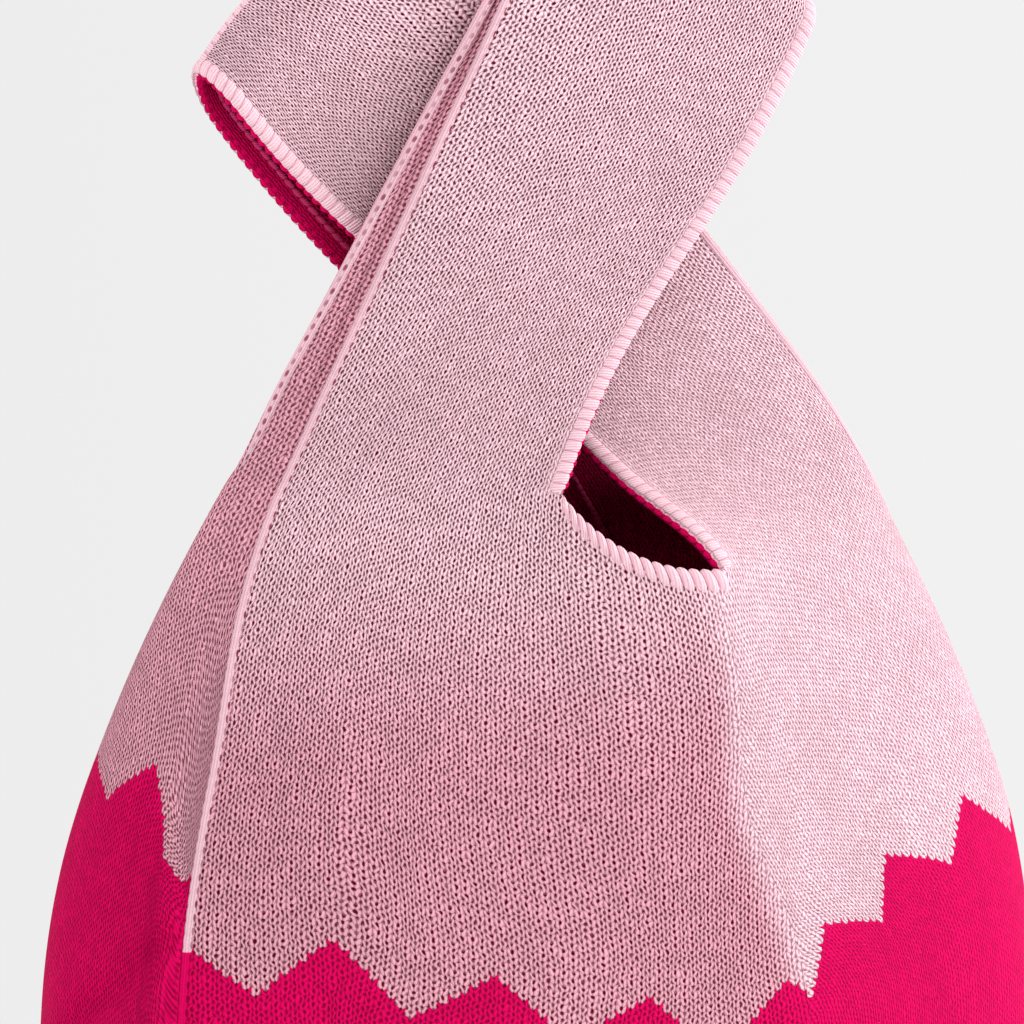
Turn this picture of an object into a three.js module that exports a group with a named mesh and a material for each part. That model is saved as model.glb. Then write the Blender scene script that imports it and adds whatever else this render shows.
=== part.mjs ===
// A knitted knot bag: a soft sack of two panels on an oval base, with a short and a long
// loop handle. The long handle is drawn through the short one, which closes the mouth.
// Each panel, base and strap is two layers of knit, an outer layer and a lining.
//
// Millimetres, +Z up, front towards -Y, short handle on the -X side. The origin is on the
// floor under the middle of the base. Angles are in degrees and run round the sack from the
// left side seam: over the front to the right side seam at 180, and over the back to 360.

import * as THREE from 'three';

// Cloth
const OUTER_LAYER = 1.4;
const LINING_LAYER = 1.2;
const GAP = 0.3;

// Sack: half width along X and half depth along Y at three heights
const BASE_HALF_WIDTH = 98;
const BASE_HALF_DEPTH = 38;
const BASE_FLARE = 0.62;
const BELLY_HEIGHT = 90;
const BELLY_HALF_WIDTH = 119;
const BELLY_HALF_DEPTH = 52;
const RIM_HEIGHT = 214;
const RIM_HALF_WIDTH = 78;
const RIM_HALF_DEPTH = 17;
const RIM_WIDTH_SLOPE = -0.6;
const RIM_DEPTH_SLOPE = -0.35;

// Side seams: where the left one meets the rim, and how far it wanders on its way down
const SEAM_ANGLE = 30;
const SEAM_WANDER = 5;
const SEAM_WANDER_DROP = 60;
const SIDE_SEAM_RADIUS = 1.6;
const SIDE_SEAM_SINK = 0.6;
const SIDE_SEAM_GAP = 0.7;
const STRAP_SEAM_RADIUS = 0.9;
const BASE_SEAM_RADIUS = 1.5;

// Mouth: a slot in the rim of each panel, between the straps, which drops towards the long handle.
// The back panel's mouth is opposite the front's.
const NOTCH_ANGLE = 55;
const CORNER_ANGLE = 77;
const MOUTH_DROP = 17;
const MOUTH_CURVE = 2.8;
const LIP_HEIGHT = 4.5;
const LIP_SWELL = 0.6;
const LIP_END_ANGLE = 0.8;

// Soft fold that runs down the panel from the mouth's low corner. It is wide towards the mouth and
// falls off steeply past the corner; a low crest value gives it a sharp crest.
const FOLD_HEIGHT = 12;
const FOLD_NEAR_ANGLE = 26;
const FOLD_FAR_ANGLE = 12;
const FOLD_CREST = 0.3;
const FOLD_DROP = 84;
const FOLD_SHIFT_ANGLE = 2;

// Straps. A side seam runs on up one strap of each handle, at a share of its width.
const TRIM_WIDTH = 3;
const TRIM_SWELL = 0.5;
const ROOT_LENGTH = 14;
const ROOT_GAP = 1.3;
const CAP_SHARE = 0.07;
const CROWN_SEAM_WIDTH = 2.4;
const SPLIT_GAP = 0.6;
const STRAP_CURL = 4;
const SHORT_SEAM_SHARE = 0.16;
const SHORT_SEAM_CROWN_SHARE = 0.045;
const LONG_SEAM_SHARE = 0.2;

// Values that follow from the angles above: the back mouth, and where the straps of each handle
// part at the two ends of the sack
const BACK_NOTCH_ANGLE = 360 - 2 * SEAM_ANGLE - NOTCH_ANGLE;
const BACK_CORNER_ANGLE = 360 - 2 * SEAM_ANGLE - CORNER_ANGLE;
const LEFT_SPLIT_ANGLE = -SEAM_ANGLE;
const RIGHT_SPLIT_ANGLE = 180 - SEAM_ANGLE;

// Each handle: the angles at the rim that shares of the strap's width come from; the crown's outer
// end in the XZ plane, its width, fall and bow, and the crown share that those width shares reach;
// the lean of the straps (X run for each unit of rise) where they leave the rim and where they
// reach the crown; and the distance of the front and back straps from the XZ plane at shares of
// the way up. Pairs run from the outer edge to the inner edge of the strap.
const SHORT_HANDLE = {
  name: 'short',
  seam: { side: 'front', across: SHORT_SEAM_SHARE },
  angles: {
    front: [[0, LEFT_SPLIT_ANGLE], [SHORT_SEAM_SHARE, 0], [1, NOTCH_ANGLE]],
    back: [[0, 360 + LEFT_SPLIT_ANGLE], [1, BACK_NOTCH_ANGLE]],
  },
  crown: { x: -3, z: 351, width: 71, direction: -24.1, bow: 6 },
  crownShares: [[0, 0], [SHORT_SEAM_SHARE, SHORT_SEAM_CROWN_SHARE], [1, 1]],
  rimLean: { front: [0.42, 0.45], back: [1.3, 0.36] },
  crownLean: { front: [0.58, 0.48], back: [0.58, 0.48] },
  spread: {
    front: [[0.3, 10, 17.5], [0.62, 11, 17]],
    back: [[0.3, 12.5, 17.5], [0.62, 12.5, 17]],
  },
  crownSpread: [9.5, 12],
};
const LONG_HANDLE = {
  name: 'long',
  seam: { side: 'back', across: LONG_SEAM_SHARE },
  angles: {
    front: [[0, RIGHT_SPLIT_ANGLE], [1, CORNER_ANGLE]],
    back: [[0, RIGHT_SPLIT_ANGLE], [LONG_SEAM_SHARE, 180], [1, BACK_CORNER_ANGLE]],
  },
  crown: { x: -36, z: 345, width: 60.8, direction: 219.3, bow: 5 },
  crownShares: [[0, 0], [1, 1]],
  rimLean: { front: [-0.58, -0.75], back: [-0.58, -0.9] },
  crownLean: { front: [-1.05, -0.8], back: [-1.05, -0.55] },
  spread: {
    front: [[0.2, 6, 12], [0.36, 6.5, 10], [0.62, 5, 6], [0.8, 5, 5.8]],
    back: [[0.2, 6, 12], [0.36, 6.5, 10], [0.62, 5, 6], [0.8, 5, 5.8]],
  },
  crownSpread: [7, 8.5],
};

// Fineness of the meshes
const COLUMN_ANGLE = 9;
const MOUTH_COLUMNS = 5;
const PANEL_ROWS = 9;
const STRAP_COLUMNS = 8;
const STRAP_ROWS = 8;
const CAP_ROWS = 4;
const TUBE_SIDES = 6;
const SEAM_STEPS = 12;
const BASE_STEPS = 40;

// Values that follow from those above
const CLOTH = OUTER_LAYER + GAP + LINING_LAYER;
const LINING_FACE = OUTER_LAYER + GAP;
const WALL_FOOT = CLOTH + GAP;
const LOW_RIM_HEIGHT = RIM_HEIGHT - MOUTH_DROP;
const PROBE = 0.01;

const PALE_KNIT = { color: 0xe3b8c4, roughness: 0.9, metalness: 0 };
const HOT_KNIT = { color: 0xe01870, roughness: 0.9, metalness: 0 };

// Small helpers

function hermite(t, start, end, startSlope, endSlope) {
  const t2 = t * t;
  const t3 = t2 * t;
  return (2 * t3 - 3 * t2 + 1) * start + (t3 - 2 * t2 + t) * startSlope
    + (3 * t2 - 2 * t3) * end + (t3 - t2) * endSlope;
}

function smoothStep(t) {
  const c = THREE.MathUtils.clamp(t, 0, 1);
  return c * c * (3 - 2 * c);
}

function spaced(start, end, steps) {
  return Array.from({ length: steps + 1 }, (_, i) => start + (end - start) * i / steps);
}

// Smooth curve through knots, given as pairs of a place and a value.
function throughKnots(knots, place) {
  const last = knots.length - 1;
  const slope = (i) => {
    const before = knots[Math.max(i - 1, 0)];
    const after = knots[Math.min(i + 1, last)];
    return (after[1] - before[1]) / (after[0] - before[0]);
  };
  let i = 0;
  while (i < last - 1 && place > knots[i + 1][0]) i += 1;
  const span = knots[i + 1][0] - knots[i][0];
  const t = (place - knots[i][0]) / span;
  return hermite(t, knots[i][1], knots[i + 1][1], slope(i) * span, slope(i + 1) * span);
}

// Straight lines through knots.
function alongLine(knots, place) {
  let i = 0;
  while (i < knots.length - 2 && place > knots[i + 1][0]) i += 1;
  const [from, to] = [knots[i], knots[i + 1]];
  return from[1] + (to[1] - from[1]) * (place - from[0]) / (to[0] - from[0]);
}

// The sack's surface

function sackHalf(z, base, belly, rim, rimSlope) {
  if (z < BELLY_HEIGHT) return hermite(z / BELLY_HEIGHT, base, belly, BASE_FLARE * BELLY_HEIGHT, 0);
  const span = RIM_HEIGHT - BELLY_HEIGHT;
  return hermite((z - BELLY_HEIGHT) / span, belly, rim, 0, rimSlope * span);
}

function foldBump(angle, z) {
  const drop = Math.max(LOW_RIM_HEIGHT - z, 0) / FOLD_DROP;
  const frontPast = angle - CORNER_ANGLE + FOLD_SHIFT_ANGLE;
  const backPast = BACK_CORNER_ANGLE + FOLD_SHIFT_ANGLE - angle;
  let bump = 0;
  for (const past of [frontPast, backPast]) {
    const near = (past / FOLD_NEAR_ANGLE) ** 2;
    const far = Math.hypot(past / FOLD_FAR_ANGLE, FOLD_CREST) - FOLD_CREST;
    bump += FOLD_HEIGHT * Math.exp(-(past < 0 ? near : far) - drop * drop);
  }
  return bump;
}

function sackPoint(angle, z) {
  const halfWidth = sackHalf(z, BASE_HALF_WIDTH, BELLY_HALF_WIDTH, RIM_HALF_WIDTH, RIM_WIDTH_SLOPE);
  const halfDepth = sackHalf(z, BASE_HALF_DEPTH, BELLY_HALF_DEPTH, RIM_HALF_DEPTH, RIM_DEPTH_SLOPE);
  const wander = SEAM_WANDER * smoothStep((RIM_HEIGHT - z) / SEAM_WANDER_DROP);
  const turn = THREE.MathUtils.degToRad(SEAM_ANGLE + wander + angle);
  const out = new THREE.Vector3(-Math.cos(turn) * halfDepth, -Math.sin(turn) * halfWidth, 0).normalize();
  const point = new THREE.Vector3(-Math.cos(turn) * halfWidth, -Math.sin(turn) * halfDepth, z);
  return point.addScaledVector(out, foldBump(angle, z));
}

// A surface point and its outward normal, from the surface's two directions.
function placeOn(surface, a, b) {
  const along = surface(a + PROBE, b).sub(surface(a - PROBE, b));
  const up = surface(a, b + PROBE).sub(surface(a, b - PROBE));
  return { point: surface(a, b), normal: along.cross(up).normalize() };
}

// Degrees round the sack that cover one length, at an angle and a height.
function degreesFor(length, angle, z) {
  return length / sackPoint(angle + PROBE, z).distanceTo(sackPoint(angle - PROBE, z)) * 2 * PROBE;
}

// The rim is high at the short handle, low at the long one, and drops between them at each mouth.
function rimHeight(angle) {
  const inFront = angle < 180;
  const notch = inFront ? NOTCH_ANGLE : BACK_NOTCH_ANGLE;
  const corner = inFront ? CORNER_ANGLE : BACK_CORNER_ANGLE;
  const fromLong = THREE.MathUtils.clamp((angle - corner) / (notch - corner), 0, 1);
  return LOW_RIM_HEIGHT + MOUTH_DROP * fromLong ** MOUTH_CURVE;
}

// Closed meshes

function addMesh(group, name, geometry, look) {
  const mesh = new THREE.Mesh(geometry, new THREE.MeshStandardMaterial(look));
  mesh.name = name;
  group.add(mesh);
}

function closedGeometry(points, triangles) {
  let volume = 0;
  for (const [a, b, c] of triangles) {
    volume += points[a].dot(new THREE.Vector3().crossVectors(points[b], points[c]));
  }
  const outward = volume > 0 ? triangles : triangles.map(([a, b, c]) => [a, c, b]);
  const geometry = new THREE.BufferGeometry();
  geometry.setFromPoints(points);
  geometry.setIndex(outward.flat());
  geometry.computeVertexNormals();
  return geometry;
}

// A sheet of cloth between two depths below a surface, over a grid of places.
function sheet(place, columns, rows, faceDepth, backDepth) {
  const points = [];
  for (const depth of [faceDepth, backDepth]) {
    for (const row of rows) {
      for (const column of columns) {
        const { point, normal } = place(column, row);
        points.push(point.addScaledVector(normal, -depth));
      }
    }
  }
  const width = columns.length;
  const layer = width * rows.length;
  const triangles = [];
  const quad = (a, b, c, d) => triangles.push([a, b, c], [a, c, d]);
  for (let j = 0; j < rows.length - 1; j += 1) {
    for (let i = 0; i < width - 1; i += 1) {
      const k = j * width + i;
      quad(k, k + 1, k + width + 1, k + width);
      quad(layer + k, layer + k + width, layer + k + width + 1, layer + k + 1);
    }
  }
  const top = layer - width;
  for (let i = 0; i < width - 1; i += 1) {
    quad(i, layer + i, layer + i + 1, i + 1);
    quad(top + i, top + i + 1, layer + top + i + 1, layer + top + i);
  }
  for (let j = 0; j < rows.length - 1; j += 1) {
    const left = j * width;
    const right = left + width - 1;
    quad(left, left + width, layer + left + width, layer + left);
    quad(right, layer + right, layer + right + width, right + width);
  }
  return closedGeometry(points, triangles);
}

// A round roll of yarn through a row of places, raised or sunk from the surface.
function roll(places, radius, depth, joined) {
  const points = [];
  const count = places.length;
  places.forEach(({ point, normal }, i) => {
    const before = places[joined ? (i + count - 1) % count : Math.max(i - 1, 0)].point;
    const after = places[joined ? (i + 1) % count : Math.min(i + 1, count - 1)].point;
    const ahead = after.clone().sub(before).normalize();
    const side = ahead.clone().cross(normal).normalize();
    const out = side.clone().cross(ahead);
    const centre = point.clone().addScaledVector(normal, -depth);
    for (let k = 0; k < TUBE_SIDES; k += 1) {
      const turn = 2 * Math.PI * k / TUBE_SIDES;
      const offset = side.clone().multiplyScalar(Math.cos(turn)).addScaledVector(out, Math.sin(turn));
      points.push(centre.clone().addScaledVector(offset, radius));
    }
  });
  const triangles = [];
  const lengths = joined ? count : count - 1;
  for (let i = 0; i < lengths; i += 1) {
    const here = i * TUBE_SIDES;
    const next = (i + 1) % count * TUBE_SIDES;
    for (let k = 0; k < TUBE_SIDES; k += 1) {
      const l = (k + 1) % TUBE_SIDES;
      triangles.push([here + k, here + l, next + l], [here + k, next + l, next + k]);
    }
  }
  if (!joined) {
    const end = (count - 1) * TUBE_SIDES;
    for (let k = 1; k < TUBE_SIDES - 1; k += 1) {
      triangles.push([0, k + 1, k], [end, end + k, end + k + 1]);
    }
  }
  return closedGeometry(points, triangles);
}

// Panels and their seams. A panel runs over half a turn, and its mouth between two angles.

const PANELS = [
  { side: 'front', start: 0, mouth: [NOTCH_ANGLE, CORNER_ANGLE] },
  { side: 'back', start: 180, mouth: [BACK_CORNER_ANGLE, BACK_NOTCH_ANGLE] },
];

function panelTop(panel, angle) {
  const [low, high] = panel.mouth;
  const fromEnd = Math.min(angle - low, high - angle) / LIP_END_ANGLE;
  const cut = THREE.MathUtils.clamp(fromEnd, 0, 1) * (LIP_HEIGHT + GAP);
  return rimHeight(angle) - GAP - cut;
}

function panelPlace(panel) {
  const { start } = panel;
  return (angle, share) => {
    const z = THREE.MathUtils.lerp(WALL_FOOT, panelTop(panel, angle), share);
    const clear = degreesFor(SIDE_SEAM_RADIUS + SIDE_SEAM_GAP, start, z);
    return placeOn(sackPoint, THREE.MathUtils.clamp(angle, start + clear, start + 180 - clear), z);
  };
}

function columnsBetween(start, end) {
  return spaced(start, end, Math.ceil((end - start) / COLUMN_ANGLE));
}

function addPanel(group, panel) {
  const { side, start } = panel;
  const [low, high] = panel.mouth;
  const columns = [
    ...columnsBetween(start, low),
    ...spaced(low + LIP_END_ANGLE, high - LIP_END_ANGLE, MOUTH_COLUMNS),
    ...columnsBetween(high, start + 180 - PROBE),
  ];
  const rows = spaced(0, 1, PANEL_ROWS);
  const place = panelPlace(panel);
  addMesh(group, `${side}_panel`, sheet(place, columns, rows, 0, OUTER_LAYER), PALE_KNIT);
  addMesh(group, `${side}_lining`, sheet(place, columns, rows, LINING_FACE, CLOTH), HOT_KNIT);
}

function addMouthLip(group, panel) {
  const [low, high] = panel.mouth;
  const columns = spaced(low + 2 * LIP_END_ANGLE, high - 2 * LIP_END_ANGLE, MOUTH_COLUMNS);
  const place = (angle, share) => placeOn(sackPoint, angle, rimHeight(angle) - LIP_HEIGHT * (1 - share));
  addMesh(group, `${panel.side}_mouth_lip`, sheet(place, columns, [0, 1], -LIP_SWELL, CLOTH), PALE_KNIT);
}

function addSideSeam(group, side, angle) {
  const foot = WALL_FOOT + 2 * BASE_SEAM_RADIUS + GAP;
  const top = rimHeight(angle) - GAP;
  const places = spaced(foot, top, SEAM_STEPS).map((z) => placeOn(sackPoint, angle, z));
  addMesh(group, `${side}_side_seam`, roll(places, SIDE_SEAM_RADIUS, SIDE_SEAM_SINK, false), PALE_KNIT);
}

function baseOutline() {
  const angles = spaced(0, 360, BASE_STEPS).slice(0, -1);
  return new THREE.Shape(angles.map((angle) => {
    const { x, y } = sackPoint(angle, 0);
    return new THREE.Vector2(x, y);
  }));
}

function addBase(group) {
  const layers = [['base_panel', 0, OUTER_LAYER], ['base_lining', LINING_FACE, LINING_LAYER]];
  for (const [name, height, depth] of layers) {
    const geometry = new THREE.ExtrudeGeometry(baseOutline(), { depth, bevelEnabled: false });
    geometry.translate(0, 0, height);
    addMesh(group, name, geometry, HOT_KNIT);
  }
  const angles = spaced(0, 360, BASE_STEPS).slice(0, -1);
  const places = angles.map((angle) => placeOn(sackPoint, angle, WALL_FOOT + BASE_SEAM_RADIUS));
  addMesh(group, 'base_seam', roll(places, BASE_SEAM_RADIUS, -BASE_SEAM_RADIUS - GAP, true), HOT_KNIT);
}

// Straps. A place on a handle is a share of the strap's width, 0 at its outer edge, and a share
// of its length, 0 at the front rim, 1 at the crown and 2 at the back rim.

function pair(values, share) {
  return THREE.MathUtils.lerp(values[0], values[1], share);
}

function crownPoint(handle, across) {
  const { x, z, width, direction, bow } = handle.crown;
  const turn = THREE.MathUtils.degToRad(direction);
  const line = new THREE.Vector2(Math.cos(turn), Math.sin(turn)).multiplyScalar(width);
  const rise = new THREE.Vector2(-line.y, line.x).normalize();
  if (rise.y < 0) rise.negate();
  const share = alongLine(handle.crownShares, across);
  const lift = 4 * bow * share * (1 - share);
  return new THREE.Vector2(x, z).addScaledVector(line, share).addScaledVector(rise, lift);
}

function strapAngle(handle, side, across) {
  const knots = handle.angles[side];
  const outer = knots[0][1];
  const inner = knots[knots.length - 1][1];
  const clear = degreesFor(SPLIT_GAP, outer, rimHeight(outer)) * Math.sign(inner - outer);
  return alongLine(knots, across) + clear * (1 - across);
}

function strapStart(handle, side, across) {
  const angle = strapAngle(handle, side, across);
  return sackPoint(angle, rimHeight(angle));
}

function strapPoint(handle, across, along) {
  const side = along > 1 ? 'back' : 'front';
  const share = along > 1 ? 2 - along : along;
  const start = strapStart(handle, side, across);
  const end = crownPoint(handle, across);
  const chord = Math.hypot(end.x - start.x, end.y - start.z);
  const straight = 1 - CAP_SHARE;
  const quarter = Math.max(share - straight, 0) / CAP_SHARE * Math.PI / 2;
  const climb = Math.min(share, straight) + CAP_SHARE * Math.sin(quarter);
  const rimLean = pair(handle.rimLean[side], across * across);
  const crownLean = pair(handle.crownLean[side], across);
  const rimPull = chord / Math.hypot(rimLean, 1);
  const crownPull = chord / Math.hypot(crownLean, 1);
  const x = hermite(climb, start.x, end.x, rimLean * rimPull, crownLean * crownPull);
  const z = hermite(climb, start.z, end.y, rimPull, crownPull);
  const away = side === 'front' ? -1 : 1;
  const curl = 1 - Math.abs(1 - across) ** STRAP_CURL;
  const knots = handle.spread[side].map(([at, outer, inner]) => [at, away * pair([outer, inner], curl)]);
  knots.unshift([0, start.y]);
  knots.push([straight, away * pair(handle.crownSpread, curl)]);
  const y = throughKnots(knots, Math.min(climb, straight)) * Math.cos(quarter);
  return new THREE.Vector3(x, y, z);
}

// The cloth's normal turns from the sack's at the rim to the strap's own over the root.
function strapPlace(handle) {
  const surface = (across, along) => strapPoint(handle, across, along);
  const probe = PROBE / 10;
  const facing = handle.name === 'long' ? -1 : 1;
  const root = ROOT_LENGTH / meanChord(handle);
  return (across, along) => {
    const right = surface(across + probe, along).sub(surface(across - probe, along));
    const ahead = surface(across, along + probe).sub(surface(across, along - probe));
    const own = right.cross(ahead).normalize().multiplyScalar(facing);
    const side = along > 1 ? 'back' : 'front';
    const angle = strapAngle(handle, side, across);
    const rim = placeOn(sackPoint, angle, rimHeight(angle)).normal;
    const turned = smoothStep(Math.min(along, 2 - along) / root);
    return { point: surface(across, along), normal: rim.lerp(own, turned).normalize() };
  };
}

function meanChord(handle) {
  const start = strapStart(handle, 'front', 0.5);
  const end = crownPoint(handle, 0.5);
  return Math.hypot(end.x - start.x, end.y - start.z);
}

function addHandle(group, handle) {
  const place = strapPlace(handle);
  const length = meanChord(handle);
  const gap = GAP / length;
  const root = ROOT_LENGTH / length;
  const spread = Math.min(...handle.crownSpread);
  const seam = (CROWN_SEAM_WIDTH / 2) / spread * CAP_SHARE / (Math.PI / 2);
  const seamGap = GAP / spread * CAP_SHARE / (Math.PI / 2);
  const trim = TRIM_WIDTH / handle.crown.width;
  const cleft = GAP / handle.crown.width;
  const whole = spaced(0, 1, STRAP_COLUMNS);
  const middle = spaced(trim + cleft, 1 - trim - cleft, STRAP_COLUMNS);
  const rise = [
    ...spaced(root + ROOT_GAP / length, 1 - CAP_SHARE, STRAP_ROWS),
    ...spaced(1 - CAP_SHARE, 1 - seam - seamGap, CAP_ROWS).slice(1),
  ];
  const halves = { front: (along) => along, back: (along) => 2 - along };
  for (const [side, turn] of Object.entries(halves)) {
    const name = `${handle.name}_${side}`;
    const rows = rise.map(turn);
    const rootRows = [gap, root].map(turn);
    addMesh(group, `${name}_root`, sheet(place, whole, rootRows, 0, CLOTH), PALE_KNIT);
    addMesh(group, `${name}_strap`, sheet(place, middle, rows, 0, OUTER_LAYER), PALE_KNIT);
    addMesh(group, `${name}_strap_lining`, sheet(place, middle, rows, LINING_FACE, CLOTH), HOT_KNIT);
    addMesh(group, `${name}_outer_trim`, sheet(place, [0, trim], rows, -TRIM_SWELL, CLOTH), PALE_KNIT);
    addMesh(group, `${name}_inner_trim`, sheet(place, [1 - trim, 1], rows, -TRIM_SWELL, CLOTH), PALE_KNIT);
  }
  const seamTurn = halves[handle.seam.side];
  const seamPlaces = rise.map((along) => place(handle.seam.across, seamTurn(along)));
  const raised = -STRAP_SEAM_RADIUS - SIDE_SEAM_GAP;
  const seamName = `${handle.name}_${handle.seam.side}_strap_seam`;
  addMesh(group, seamName, roll(seamPlaces, STRAP_SEAM_RADIUS, raised, false), PALE_KNIT);
  const seamRows = [1 - seam, 1, 1 + seam];
  addMesh(group, `${handle.name}_crown_seam`, sheet(place, whole, seamRows, 0, CLOTH), PALE_KNIT);
}

// The bag

const bag = new THREE.Group();
for (const panel of PANELS) {
  addPanel(bag, panel);
  addMouthLip(bag, panel);
}
addSideSeam(bag, 'left', 0);
addSideSeam(bag, 'right', 180);
addBase(bag);
addHandle(bag, SHORT_HANDLE);
addHandle(bag, LONG_HANDLE);

export default bag;
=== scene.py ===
"""A knitted knot bag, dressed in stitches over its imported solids."""
import math
from typing import NamedTuple

import bpy
import numpy as np
from mathutils import Matrix, Vector


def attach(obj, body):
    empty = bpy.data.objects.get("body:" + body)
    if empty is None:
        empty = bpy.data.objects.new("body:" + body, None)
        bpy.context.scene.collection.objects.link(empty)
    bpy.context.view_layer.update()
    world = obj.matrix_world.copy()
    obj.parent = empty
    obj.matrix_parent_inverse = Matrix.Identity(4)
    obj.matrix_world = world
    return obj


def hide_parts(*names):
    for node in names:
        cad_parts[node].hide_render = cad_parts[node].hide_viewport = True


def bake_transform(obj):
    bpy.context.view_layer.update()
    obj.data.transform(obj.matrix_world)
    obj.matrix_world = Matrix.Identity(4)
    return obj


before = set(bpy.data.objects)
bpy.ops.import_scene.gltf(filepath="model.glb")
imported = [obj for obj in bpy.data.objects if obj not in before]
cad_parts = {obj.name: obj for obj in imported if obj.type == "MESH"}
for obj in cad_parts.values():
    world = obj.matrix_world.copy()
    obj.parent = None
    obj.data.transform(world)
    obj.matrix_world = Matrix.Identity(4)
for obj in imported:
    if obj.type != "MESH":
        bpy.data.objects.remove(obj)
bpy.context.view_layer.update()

# Lengths are in millimetres until a mesh is made. Angles run round the sack from the left side
# seam: over the front to the right side seam at 180, and over the back to 360.
MM = 0.001

# Cloth: depths of the outer layer's back and of the lining's two faces, where the walls start, how far
# above that the side seams start, and the size of the base's lining against the base
OUTER_LAYER = 1.4
LINING_FACE = 1.7
CLOTH = 2.9
WALL_FOOT = 3.2
SEAM_START = 3
BASE_LINING_SHARE = 0.985

# Sack: half its width and half its depth at base, belly and rim, their slopes at base and rim, its
# heights, and how far round it the side seams are turned at the rim and further below
BASE_HALF = (98, 38)
BELLY_HALF = (119, 52)
RIM_HALF = (78, 17)
BASE_FLARE = (0.62, 0.62)
RIM_SLOPE = (-0.6, -0.35)
BELLY_HEIGHT = 90
RIM_HEIGHT = 214
LOW_RIM_HEIGHT = 197
SEAM_ANGLE = 30
SEAM_WANDER = 5
SEAM_WANDER_DROP = 60

# Mouths: each runs from a notch beside the short handle to a low corner beside the long one. Its lip
# covers the top of the panel, which eases down under it, and runs past the mouth's ends.
NOTCH_ANGLE = 55
CORNER_ANGLE = 77
BACK_NOTCH_ANGLE = 360 - 2 * SEAM_ANGLE - NOTCH_ANGLE
BACK_CORNER_ANGLE = 360 - 2 * SEAM_ANGLE - CORNER_ANGLE
MOUTH_CURVE = 2.8
MOUTH_EASE_ANGLE = 0.8
MOUTH_EASE_START = 0.2
LIP_HEIGHT = 4.5
LIP_COVER = 1.8
LIP_OVERRUN = (0.4, 0.2)

# Folds below the mouths' corners
FOLD_HEIGHT = 12
FOLD_NEAR_ANGLE = 26
FOLD_FAR_ANGLE = 12
FOLD_CREST = 0.3
FOLD_DROP = 84
FOLD_SHIFT_ANGLE = 2
FOLD_BEND_ANGLE = 6.5
FOLD_BEND_HEIGHT = 150
FOLD_BEND_REACH = 30

# Slack cloth: a slanting crease behind the left seam, ripples, and where both fade below the rim
DEGREE_LENGTH = 1.1
CREASE_DEPTH = 2.6
CREASE_WIDTH = 5
CREASE_LEVEL = 124
CREASE_SLOPE = 0.95
CREASE_START = 0.5
CREASE_START_REACH = 4
CREASE_END = 50
CREASE_END_REACH = 20
RIPPLE = 0.5
RIPPLE_TURNS = (7, 3)
RIPPLE_RISES = (0.031, 0.047)
SLACK_DROP = 12
SLACK_FADE = 50

# Straps: the cap at the crown, the curl across, the roots, where the two straps of a handle meet at the
# rim, the place of a seam across, and the groove beside it
CAP_SHARE = 0.07
STRAP_CURL = 4
ROOT_EASE = 32
LEFT_SPLIT_ANGLE = -30
RIGHT_SPLIT_ANGLE = 150
SHORT_SEAM_SHARE = 0.16
LONG_SEAM_SHARE = 0.2
GROOVE_DEPTH = 1.5
GROOVE_PLACE = 2.6
GROOVE_HALF = 1.3

# Handles. A spread holds a share of the way up and the distances from the middle of the bag there,
# at the outer and at the inner edge. A lean is the sideways run for each unit of height.
SHORT_HANDLE = {
    "name": "short",
    "seam": {"side": "front", "across": SHORT_SEAM_SHARE},
    "angles": {
        "front": [(0, LEFT_SPLIT_ANGLE), (SHORT_SEAM_SHARE, 0), (1, NOTCH_ANGLE)],
        "back": [(0, 360 + LEFT_SPLIT_ANGLE), (1, BACK_NOTCH_ANGLE)],
    },
    "crown": {"x": -3, "z": 351, "width": 71, "direction": -24.1, "bow": 6},
    "crown_shares": [(0, 0), (SHORT_SEAM_SHARE, 0.045), (1, 1)],
    "rim_lean": {"front": (0.42, 0.45), "back": (1.3, 0.36)},
    "crown_lean": {"front": (0.58, 0.48), "back": (0.58, 0.48)},
    "spread": {
        "front": [(0.3, 10, 17.5), (0.62, 11, 17)],
        "back": [(0.3, 12.5, 17.5), (0.62, 12.5, 17)],
    },
    "crown_spread": (9.5, 12),
    "rim": RIM_HEIGHT,
}
LONG_SPREAD = [(0.2, 6, 12), (0.36, 6.5, 10), (0.62, 5, 6), (0.8, 5, 5.8)]
LONG_HANDLE = {
    "name": "long",
    "seam": {"side": "back", "across": LONG_SEAM_SHARE},
    "angles": {
        "front": [(0, RIGHT_SPLIT_ANGLE), (1, CORNER_ANGLE)],
        "back": [(0, RIGHT_SPLIT_ANGLE), (LONG_SEAM_SHARE, 180), (1, BACK_CORNER_ANGLE)],
    },
    "crown": {"x": -36, "z": 345, "width": 60.8, "direction": 219.3, "bow": 5},
    "crown_shares": [(0, 0), (1, 1)],
    "rim_lean": {"front": (-0.58, -0.75), "back": (-0.58, -0.9)},
    "crown_lean": {"front": (-1.05, -0.8), "back": (-1.05, -0.55)},
    "spread": {"front": LONG_SPREAD, "back": LONG_SPREAD},
    "crown_spread": (7, 8.5),
    "rim": LOW_RIM_HEIGHT,
}

# Stitches: how many go round the sack and their width, at its belly and at its rim, the height of a
# course, the heights between which columns gather, and their lean under the rim at angles on the front
BELLY_STITCHES = 260
BELLY_STITCH = 2.2
RIM_STITCHES = 222
RIM_STITCH = 1.6
BASE_STITCH = 2.1
COURSE = 1.48
STRAP_COURSE = 1.46
RIM_GATHER = (100, 195)
RIM_LEANS = [(-30, 0), (0, 0.05), (25, 0.2), (42, 0.22), (70, 0.1), (95, 0), (150, 0)]

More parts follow.
